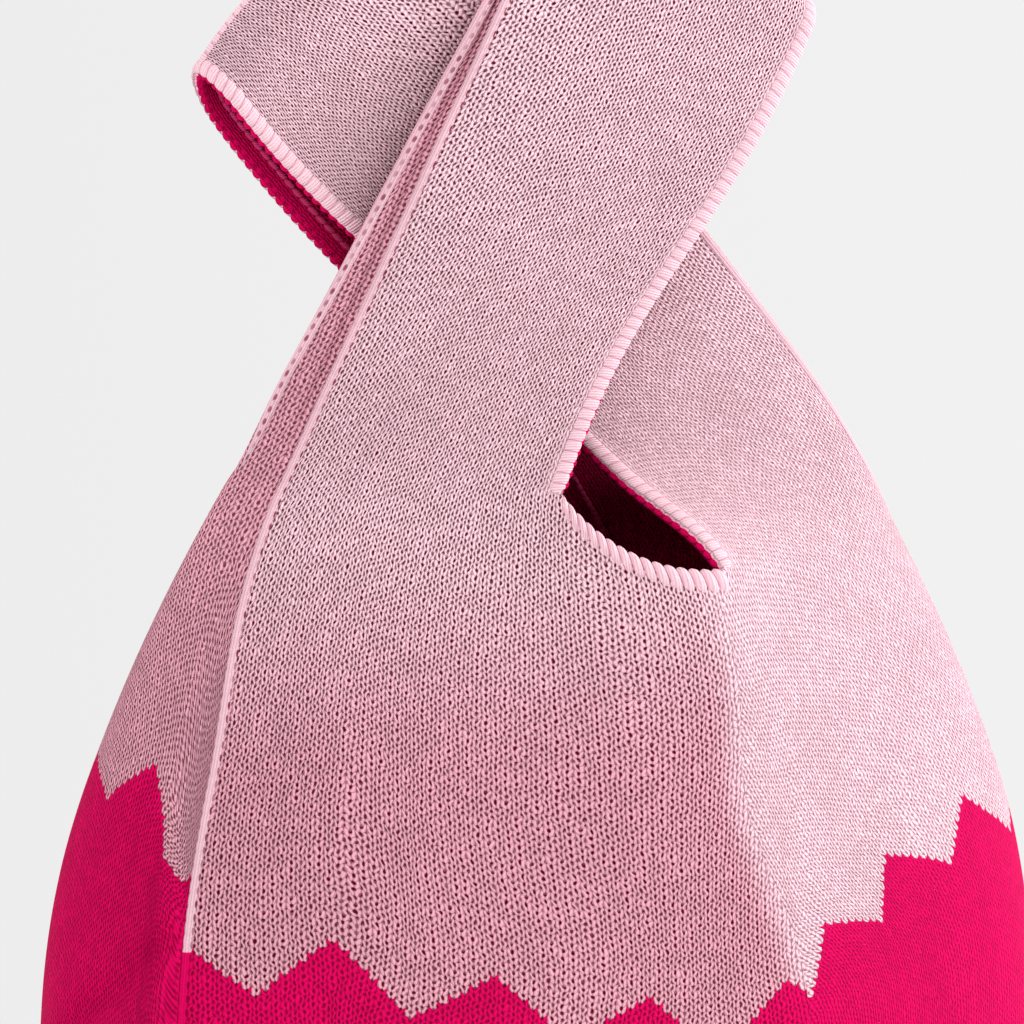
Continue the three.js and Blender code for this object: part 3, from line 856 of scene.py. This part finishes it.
# Stitch: how far it strays, its two slanting legs with painted shade in the clefts between them, and the
# holes at its centre and at its edge, which dip and are painted dark with shade. Lengths are shares of a
# stitch.
STRAY_SCALE = 0.7
STRAY_DETAIL = 1.0
STRAY_SPAN = (0.2, 0.8)
WALE_STRAY = 0.14
COURSE_STRAY = 0.16
LEG_SLANT = 0.62
LEG_ROUNDNESS = 0.5
STRAND_ROUNDNESS = 0.4
STRAND_SHARE = 0.75
CLEFT_SPAN = (0.8, 0.05)
CLEFT_SHADE = 0.45
HOLE_HALF = (0.38, 0.37)
HOLE_SPAN = (1.1, 0.25)
HOLE_DEPTH = 0.5
CENTRE_HOLE_LIFT = 0.45
CENTRE_HOLE_CHANCE = (0.0, 0.6, 0.6, 1.0)
EDGE_HOLE_LIFT = -0.12
EDGE_HOLE_CHANCE = (0.9, 0.2, 0.3, 0.95)
STITCH_SHADES = (0.93, 1.05)
HOT_FLATNESS = 0.4

# Rolls: painted shade in the grooves and pits between beads, and lines of the twist along and round them,
# in painted shade and relief
BEAD_GROOVE_SPAN = (0.45, 0.0)
BEAD_GROOVE_SHADE = 0.6
BEAD_PIT = (0.2, 0.0, 0.0, 0.6)
TWIST_ALONG = 4.0
TWIST_ROUND = 2.0
TWIST_LINE = (0.5, 0.0, 0.0, 0.22)

# Ridges and soft edges: lines along them in painted shade and relief, and a row of eyelets that dip and
# are painted dark with shade
RIDGE_LINES = 10
RIDGE_LINE = (0.4, 0.0, 0.0, 0.3)
EYELET_HALF = (0.3, 0.06)
EYELET_SPAN = (1.2, 0.3)
EYELET_CHANCE = (0.0, 0.8, 0.45, 1.0)
EYELET_DEPTH = 2.0
RIDGE_EYELET_TURN = 0.1
RIDGE_EYELETS = 1.0
EDGE_EYELET_TURN = 0.36
EDGE_EYELETS = {"short": 0.9, "long": 0.0}
EDGE_NAMES = {"short": "soft_edge", "long": "bare_edge"}


def finish_yarn(graph, colour, height, relief):
    place = graph.place()
    fibre = graph.noise(place, FIBRE_SCALE, FIBRE_DETAIL)["Fac"]
    cloudy = graph.noise(place, CLOUD_SCALE, CLOUD_DETAIL)["Fac"]
    fibre_shade = graph.ramp(fibre, *FIBRE_SPAN, *FIBRE_SHADES)
    cloud_shade = graph.ramp(cloudy, *CLOUD_SPAN, *CLOUD_SHADES)
    colour = graph.shaded(colour, graph.math("MULTIPLY", fibre_shade, cloud_shade))
    height = graph.math("ADD", height, graph.math("MULTIPLY", fibre, FIBRE_HEIGHT))
    bump = graph.node("ShaderNodeBump", {"Strength": 1.0, "Distance": relief, "Height": height})
    graph.put(graph.shader.inputs["Base Color"], colour)
    graph.put(graph.shader.inputs["Normal"], bump.outputs[0])
    graph.shader.inputs["Roughness"].default_value = YARN_ROUGHNESS
    graph.shader.inputs["Specular IOR Level"].default_value = YARN_GLOSS
    return graph.material


def knit_material(name, yarns, bordered):
    """Stockinette: columns of V stitches, with painted shade in the clefts between legs and strands, and
    small holes between their legs that dip and are painted dark with shade. The yarns are one set of
    colours for the yarn and, where there are two, a second for the same yarn painted a deeper pink as
    shade."""
    graph = Graph(name)
    uv, wale, course = graph.layer("Stitches")
    # The Looks map: how deep a pink is painted as shade, and how strongly the holes show in dip and
    # painted shade
    _, depth, hole_shade_and_dip = graph.layer("Looks")
    stray = graph.node("ShaderNodeSeparateColor", {
        "Color": graph.noise(uv, STRAY_SCALE, STRAY_DETAIL)["Color"],
    }).outputs
    wale = graph.math("ADD", wale, graph.ramp(stray[0], *STRAY_SPAN, -WALE_STRAY, WALE_STRAY))
    course = graph.math("ADD", course, graph.ramp(stray[1], *STRAY_SPAN, -COURSE_STRAY, COURSE_STRAY))
    column = graph.math("FLOOR", wale)
    inside = graph.math("SUBTRACT", graph.math("SUBTRACT", wale, column), 0.5)
    leg = graph.math("MULTIPLY", graph.math("ABSOLUTE", inside), 2.0)
    slanted = graph.math("SUBTRACT", course, graph.math("MULTIPLY", leg, LEG_SLANT))
    row = graph.math("FLOOR", slanted)
    strand = graph.math("SUBTRACT", slanted, row)

    def arch(value, power):
        centred = graph.math("SUBTRACT", graph.math("MULTIPLY", value, 2.0), 1.0)
        round_top = graph.math("SUBTRACT", 1.0, graph.math("MULTIPLY", centred, centred))
        return graph.math("POWER", graph.math("MAXIMUM", round_top, 0.0), power)

    along_leg = graph.math("MULTIPLY_ADD", arch(strand, STRAND_ROUNDNESS), STRAND_SHARE, 1 - STRAND_SHARE)
    height = graph.math("MULTIPLY", arch(leg, LEG_ROUNDNESS), along_leg)
    # Painted shade in the clefts between legs and strands
    cleft = graph.ramp(height, *CLEFT_SPAN)
    stitch = graph.node("ShaderNodeCombineXYZ", {"X": column, "Y": row}).outputs[0]
    chance = graph.node("ShaderNodeTexWhiteNoise", {"Vector": stitch}).outputs["Value"]

    def pit(near, lift, size):
        """A hole where near is 0, once in each course."""
        lifted = graph.math("FRACT", graph.math("ADD", course, lift))
        reach = graph.reach(near, graph.math("SUBTRACT", lifted, 0.5), HOLE_HALF)
        return graph.math("MULTIPLY", graph.ramp(reach, *HOLE_SPAN), graph.ramp(chance, *size))

    centre_pit = pit(leg, CENTRE_HOLE_LIFT, CENTRE_HOLE_CHANCE)
    edge_pit = pit(graph.math("SUBTRACT", 1.0, leg), EDGE_HOLE_LIFT, EDGE_HOLE_CHANCE)
    hole = graph.math("MULTIPLY", graph.math("MAXIMUM", centre_pit, edge_pit), hole_shade_and_dip)
    height = graph.math("SUBTRACT", height, graph.math("MULTIPLY", hole, HOLE_DEPTH))

    # A yarn's colours, with painted shade in its clefts and painted dark shade in its holes
    def yarn(light, shade, dark):
        colour = graph.blend(graph.math("MULTIPLY", cleft, CLEFT_SHADE), light, shade)
        colour = graph.blend(hole, colour, dark)
        return graph.shaded(colour, graph.ramp(chance, 0.0, 1.0, *STITCH_SHADES))

    shadings = [yarn(*colours) for colours in yarns]
    # Painted shade: the deeper pink blends in as the Looks map asks
    colour = graph.blend(depth, shadings[0], shadings[-1])
    if bordered:
        half = BORDER_PERIOD / 2
        zigzag = graph.math("PINGPONG", graph.math("ADD", column, half - BORDER_PEAK_STITCH), half)
        below = graph.math("LESS_THAN", row, graph.math("SUBTRACT", zigzag, half / 2 + 0.5))
        colour = graph.blend(below, colour, yarn(*HOT))
        flatter = graph.math("MULTIPLY_ADD", below, -HOT_FLATNESS, 1.0)
        height = graph.math("MULTIPLY", height, flatter)
    return finish_yarn(graph, colour, height, KNIT_RELIEF)


def roll_material(name, light, shade, pit):
    """Bound-off yarn: beads with grooves and pits painted dark with shade, and fine lines along each bead
    in painted shade and relief.
    """
    graph = Graph(name)
    _, bead, turn = graph.layer("Stitches")
    wave = graph.stripes(bead)
    groove = graph.math("MULTIPLY", graph.ramp(wave, *BEAD_GROOVE_SPAN), BEAD_GROOVE_SHADE)
    along = graph.math("MULTIPLY", bead, TWIST_ALONG)
    lines = graph.stripes(graph.math("ADD", along, graph.math("MULTIPLY", turn, TWIST_ROUND)))
    # Painted shade in the grooves, the pits and the twist lines
    colour = graph.blend(groove, light, shade)
    colour = graph.blend(graph.ramp(wave, *BEAD_PIT), colour, pit)
    colour = graph.blend(graph.ramp(lines, *TWIST_LINE), colour, shade)
    return finish_yarn(graph, colour, lines, ROLL_RELIEF)


def eyelet_material(name, eyelet_turn, eyelet_share, border=0):
    """A soft rolled edge or ridge with a row of eyelets at one turn round it and lines along it, both
    painted dark with shade; hot below the border.
    """
    graph = Graph(name)
    height = graph.node("ShaderNodeSeparateXYZ", {"Vector": graph.place()}).outputs[2]
    _, bead, turn = graph.layer("Stitches")
    lines = graph.stripes(turn, RIDGE_LINES)
    along = graph.math("SUBTRACT", graph.math("FRACT", bead), 0.5)
    reach = graph.reach(along, graph.math("SUBTRACT", turn, eyelet_turn), EYELET_HALF)
    number = graph.math("FLOOR", bead)
    chance = graph.node("ShaderNodeTexWhiteNoise", {"W": number}, noise_dimensions="1D").outputs["Value"]
    strength = graph.math("MULTIPLY", graph.ramp(chance, *EYELET_CHANCE), eyelet_share)
    eyelet = graph.math("MULTIPLY", graph.ramp(reach, *EYELET_SPAN), strength)
    line = graph.ramp(lines, *RIDGE_LINE)

    # Painted shade in the lines and painted dark shade in the eyelets
    def yarn(light, shade, dark):
        return graph.blend(eyelet, graph.blend(line, light, shade), dark)

    below = graph.math("LESS_THAN", height, border * MM)
    colour = graph.blend(below, yarn(*PALE_RIDGE), yarn(*HOT))
    relief = graph.math("SUBTRACT", lines, graph.math("MULTIPLY", eyelet, EYELET_DEPTH))
    return finish_yarn(graph, colour, relief, ROLL_RELIEF)


BODY_KNIT = knit_material("body_knit", (PALE, SHADED_PALE), True)
STRAP_KNIT = knit_material("strap_knit", (PALE, SHADED_PALE), False)
BASE_KNIT = knit_material("base_knit", (HOT,), False)
LINING_KNIT = knit_material("lining_knit", (LINING_IN_SHADE,), False)
PALE_ROLL = roll_material("pale_roll", *BOUND)
HOT_ROLL = roll_material("hot_roll", *HOT)
DUSTY_ROLL = roll_material("dusty_roll", *DUSTY)
RIDGES = {
    side: eyelet_material(f"{side}_ridge", RIDGE_EYELET_TURN, RIDGE_EYELETS, border)
    for side, border in SEAM_BORDERS.items()
}
SOFT_EDGES = {
    handle: eyelet_material(name, EDGE_EYELET_TURN, EDGE_EYELETS[handle])
    for handle, name in EDGE_NAMES.items()
}


# Sack

def on_body(piece, slot, *nodes):
    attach(piece, "bag_body")
    if nodes:
        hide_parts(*nodes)


def panel_grid(start, mouth):
    """Points, normals, stitch counts and looks of a panel, with two columns along its fold's crest."""
    in_front = start == 0
    hand = 1 if in_front else -1
    crest = CORNER_ANGLE - FOLD_SHIFT_ANGLE
    ridge = crest if in_front else across_sack(crest)
    columns = np.linspace(start + PANEL_INSET, start + 180 - PANEL_INSET, PANEL_COLUMNS)
    columns = np.sort(np.concatenate([columns, [ridge - CREST_INSET, ridge + CREST_INSET]]))
    column, share = np.meshgrid(columns, np.linspace(0, 1, PANEL_ROWS))
    from_end = np.minimum(column - mouth[0], mouth[1] - column)
    in_mouth = smooth_step(from_end / MOUTH_EASE_ANGLE - MOUTH_EASE_START)
    z = WALL_FOOT + (rim_height(column) - LIP_COVER * in_mouth - WALL_FOOT) * share
    near_ridge = np.exp(-((column - ridge) / FOLD_NEAR_ANGLE) ** 2)
    angle = column + hand * (fold_angle(z) - crest) * near_ridge
    stitches = np.stack([wales_at(angle, z), courses_at(angle, z)], -1)
    return sack_points(angle, z), sack_normals(angle, z), stitches, sack_looks(angle, z)


def add_panel(side, start, mouth):
    grid = panel_grid(start, mouth)
    outer = sheet(f"{side}_panel_knit", *grid, 0, OUTER_LAYER, BODY_KNIT)
    on_body(outer, "pale_knit", f"{side}_panel")
    lining = sheet(f"{side}_lining_knit", *grid, LINING_FACE, CLOTH, LINING_KNIT)
    on_body(lining, "hot_knit", f"{side}_lining")
    angle = np.linspace(mouth[0] - LIP_OVERRUN[0], mouth[1] + LIP_OVERRUN[1], LIP_POINTS)
    z = rim_height(angle) - LIP_HEIGHT / 2
    path, normals = sack_points(angle, z), sack_normals(angle, z)
    up = unit(sack_points(angle, z + PROBE) - sack_points(angle, z - PROBE))
    lip = bead_roll(f"{side}_mouth_loops", path, normals, up, LIP, PALE_ROLL)
    on_body(lip, "pale_trim", f"{side}_mouth_lip")


def add_base():
    angle = np.linspace(0, 360, BASE_COLUMNS)
    ring = sack_points(angle, np.zeros(angle.shape))
    shares = np.linspace(BASE_CENTRE, 1, BASE_ROWS)
    points = ring[None] * shares[:, None, None]
    down = np.zeros(points.shape)
    down[..., 2] = -1
    stitches = points[..., :2] / BASE_STITCH
    looks = np.ones(stitches.shape)
    outer = sheet("base_knit", points, down, stitches, looks, 0, OUTER_LAYER, BASE_KNIT)
    on_body(outer, "hot_knit", "base_panel")
    inner = points * BASE_LINING_SHARE
    lining = sheet("base_lining_knit", inner, down, stitches, looks, LINING_FACE, CLOTH, LINING_KNIT)
    on_body(lining, "hot_knit", "base_lining")
    z = np.full(angle.shape, WALL_FOOT)
    around = sack_points(angle, z)
    up = np.zeros(around.shape)
    up[:, 2] = 1
    seam = bead_roll("base_seam_roll", around, sack_normals(angle, z), up, BASE_SEAM, HOT_ROLL)
    on_body(seam, "hot_knit", "base_seam")


# Handles

def on_handle(piece, handle, slot, *nodes):
    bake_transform(piece)
    if nodes:
        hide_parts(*nodes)


def add_seam(handle, points, normals):
    """A side seam's ridge, which runs from the base up the sack and on up the strap to the crown."""
    name, side = handle["name"], handle["seam"]["side"]
    panel_side, seam_angle = ("left", 0.0) if side == "front" else ("right", 180.0)
    rows = slice(1, STRAP_ROWS) if side == "front" else slice(-2, STRAP_ROWS - 2, -1)
    column = seam_column(handle)
    strap = points[rows, column]
    across = unit(points[rows, column + 1] - strap)
    z = np.linspace(WALL_FOOT + SEAM_START, handle["rim"], SEAM_POINTS)
    angle = np.full(z.shape, seam_angle)
    along = unit(sack_points(angle + PROBE, z) - sack_points(angle - PROBE, z))
    along = along * np.sign(along[-1] @ across[0])
    path = np.concatenate([sack_points(angle, z), strap])
    off = np.concatenate([sack_normals(angle, z), normals[rows, column]])
    outward = np.concatenate([along, across])
    ridge = bead_roll(f"{panel_side}_seam_ridge", path, off, outward, SIDE_SEAM, RIDGES[panel_side])
    on_handle(ridge, handle, "pale_trim", f"{panel_side}_side_seam", f"{name}_{side}_strap_seam")


def add_edges(handle, points, normals):
    """The soft outer edge of a handle, and its bound inner edge with a fringe and a chain of loops."""
    name = handle["name"]
    for edge, column, beside in (("outer", 0, 1), ("inner", -1, -2)):
        bound = edge == "inner"
        path, off = points[:, column], normals[:, column]
        outward = unit(path - points[:, beside])
        roll, material = (BOUND_EDGE, PALE_ROLL) if bound else (SOFT_EDGE, SOFT_EDGES[name])
        trim = bead_roll(f"{name}_{edge}_edge", path, off, outward, roll, material)
        on_handle(trim, handle, "pale_trim", *[f"{name}_{half}_{edge}_trim" for half in ("front", "back")])
        if bound:
            fringe = bead_roll(f"{name}_{edge}_fringe", path, off, outward, FRINGE, HOT_ROLL)
            on_handle(fringe, handle, "hot_knit")
            chain = bead_roll(f"{name}_{edge}_chain", path, off, outward, CHAIN, DUSTY_ROLL)
            on_handle(chain, handle, "hot_knit")


def add_handle(handle):
    name = handle["name"]
    grid = handle_grid(handle)
    points, normals = grid[:2]
    halves = (f"{name}_front", f"{name}_back")
    outer = sheet(f"{name}_handle_knit", *grid, 0, OUTER_LAYER, STRAP_KNIT)
    outer_nodes = [f"{half}_{part}" for half in halves for part in ("root", "strap")]
    on_handle(outer, handle, "pale_knit", *outer_nodes)
    lining = sheet(f"{name}_handle_lining", *grid, LINING_FACE, CLOTH, LINING_KNIT)
    on_handle(lining, handle, "hot_knit", *[f"{half}_strap_lining" for half in halves])
    add_edges(handle, points, normals)
    add_seam(handle, points, normals)
    top = STRAP_ROWS - 1
    over = unit(points[top + 1] - points[top - 1])
    crown = bead_roll(f"{name}_crown_ridge", points[top], normals[top], over, CROWN_SEAM, PALE_ROLL)
    on_handle(crown, handle, "pale_trim", f"{name}_crown_seam")


# Stage

def add_camera():
    """The camera, and the directions to its right and ahead of it."""
    azimuth, elevation = math.radians(CAMERA_AZIMUTH), math.radians(CAMERA_ELEVATION)
    right = Vector((math.cos(azimuth), math.sin(azimuth), 0))
    ahead = Vector((-math.sin(azimuth), math.cos(azimuth), 0)) * math.cos(elevation)
    ahead.z = -math.sin(elevation)
    target = right * CAMERA_RIGHT + Vector((0, 0, CAMERA_HEIGHT))
    data = bpy.data.cameras.new("camera")
    data.lens = CAMERA_LENS
    data.sensor_width = CAMERA_SENSOR
    camera = bpy.data.objects.new("camera", data)
    camera.location = (target - ahead * CAMERA_DISTANCE) * MM
    camera.rotation_euler = ahead.to_track_quat("-Z", "Y").to_euler()
    bpy.context.scene.collection.objects.link(camera)
    bpy.context.scene.camera = camera
    return right, ahead


def add_light(name, location, size, energy):
    data = bpy.data.lights.new(name, "AREA")
    data.shape = "DISK"
    data.size = size
    data.energy = energy
    light = bpy.data.objects.new(name, data)
    light.location = location
    light.rotation_euler = (Vector(LIGHT_TARGET) - light.location).to_track_quat("-Z", "Y").to_euler()
    bpy.context.scene.collection.objects.link(light)


def studio_world(right, ahead):
    """An even white room, with a dimmer backdrop behind the bag that brightens to the right."""
    world = bpy.data.worlds.new("studio")
    world.use_nodes = True
    tree = world.node_tree
    direction = tree.nodes.new("ShaderNodeTexCoord").outputs["Generated"]

    def towards(axis):
        node = tree.nodes.new("ShaderNodeVectorMath")
        node.operation = "DOT_PRODUCT"
        node.inputs[1].default_value = axis
        tree.links.new(direction, node.inputs[0])
        return node.outputs["Value"]

    ramp = tree.nodes.new("ShaderNodeMapRange")
    ramp.interpolation_type = "SMOOTHSTEP"
    ramp.inputs["From Min"].default_value = BACKDROP_SPAN[0]
    ramp.inputs["From Max"].default_value = BACKDROP_SPAN[1]
    ramp.inputs["To Min"].default_value = ROOM_LIGHT
    tree.links.new(towards(ahead), ramp.inputs["Value"])
    tilt = tree.nodes.new("ShaderNodeMath")
    tilt.operation = "MULTIPLY_ADD"
    tilt.inputs[1].default_value = SIDE_LIGHT
    tilt.inputs[2].default_value = BACKDROP_LIGHT
    tree.links.new(towards(right), tilt.inputs[0])
    tree.links.new(tilt.outputs[0], ramp.inputs["To Max"])
    tree.links.new(ramp.outputs[0], tree.nodes["Background"].inputs["Strength"])
    tree.nodes["Background"].inputs["Color"].default_value = (1, 1, 1, 1)
    return world


def add_floor():
    turn = np.linspace(0, 2 * math.pi, FLOOR_SIDES, endpoint=False)
    rim = np.stack([np.cos(turn), np.sin(turn), np.zeros(FLOOR_SIDES)], -1) * FLOOR_RADIUS
    mesh = bpy.data.meshes.new("floor")
    mesh.from_pydata(rim.tolist(), [], [list(range(FLOOR_SIDES))])
    floor = bpy.data.objects.new("floor", mesh)
    bpy.context.scene.collection.objects.link(floor)
    graph = Graph("floor")
    graph.shader.inputs["Base Color"].default_value = FLOOR_COLOUR
    graph.shader.inputs["Roughness"].default_value = FLOOR_ROUGHNESS
    mesh.materials.append(graph.material)


def add_stage():
    right, ahead = add_camera()
    axes = Matrix((right, Vector((0, 0, 1)), ahead)).transposed()
    add_light("key", axes @ Vector(KEY_PLACE), KEY_SIZE, KEY_LIGHT)
    add_light("fill", axes @ Vector(FILL_PLACE), FILL_SIZE, FILL_LIGHT)
    add_floor()
    scene = bpy.context.scene
    scene.world = studio_world(right, ahead)
    scene.view_settings.view_transform = "Standard"


add_panel("front", 0, (NOTCH_ANGLE, CORNER_ANGLE))
add_panel("back", 180, (BACK_CORNER_ANGLE, BACK_NOTCH_ANGLE))
add_base()
add_handle(SHORT_HANDLE)
add_handle(LONG_HANDLE)
add_stage()
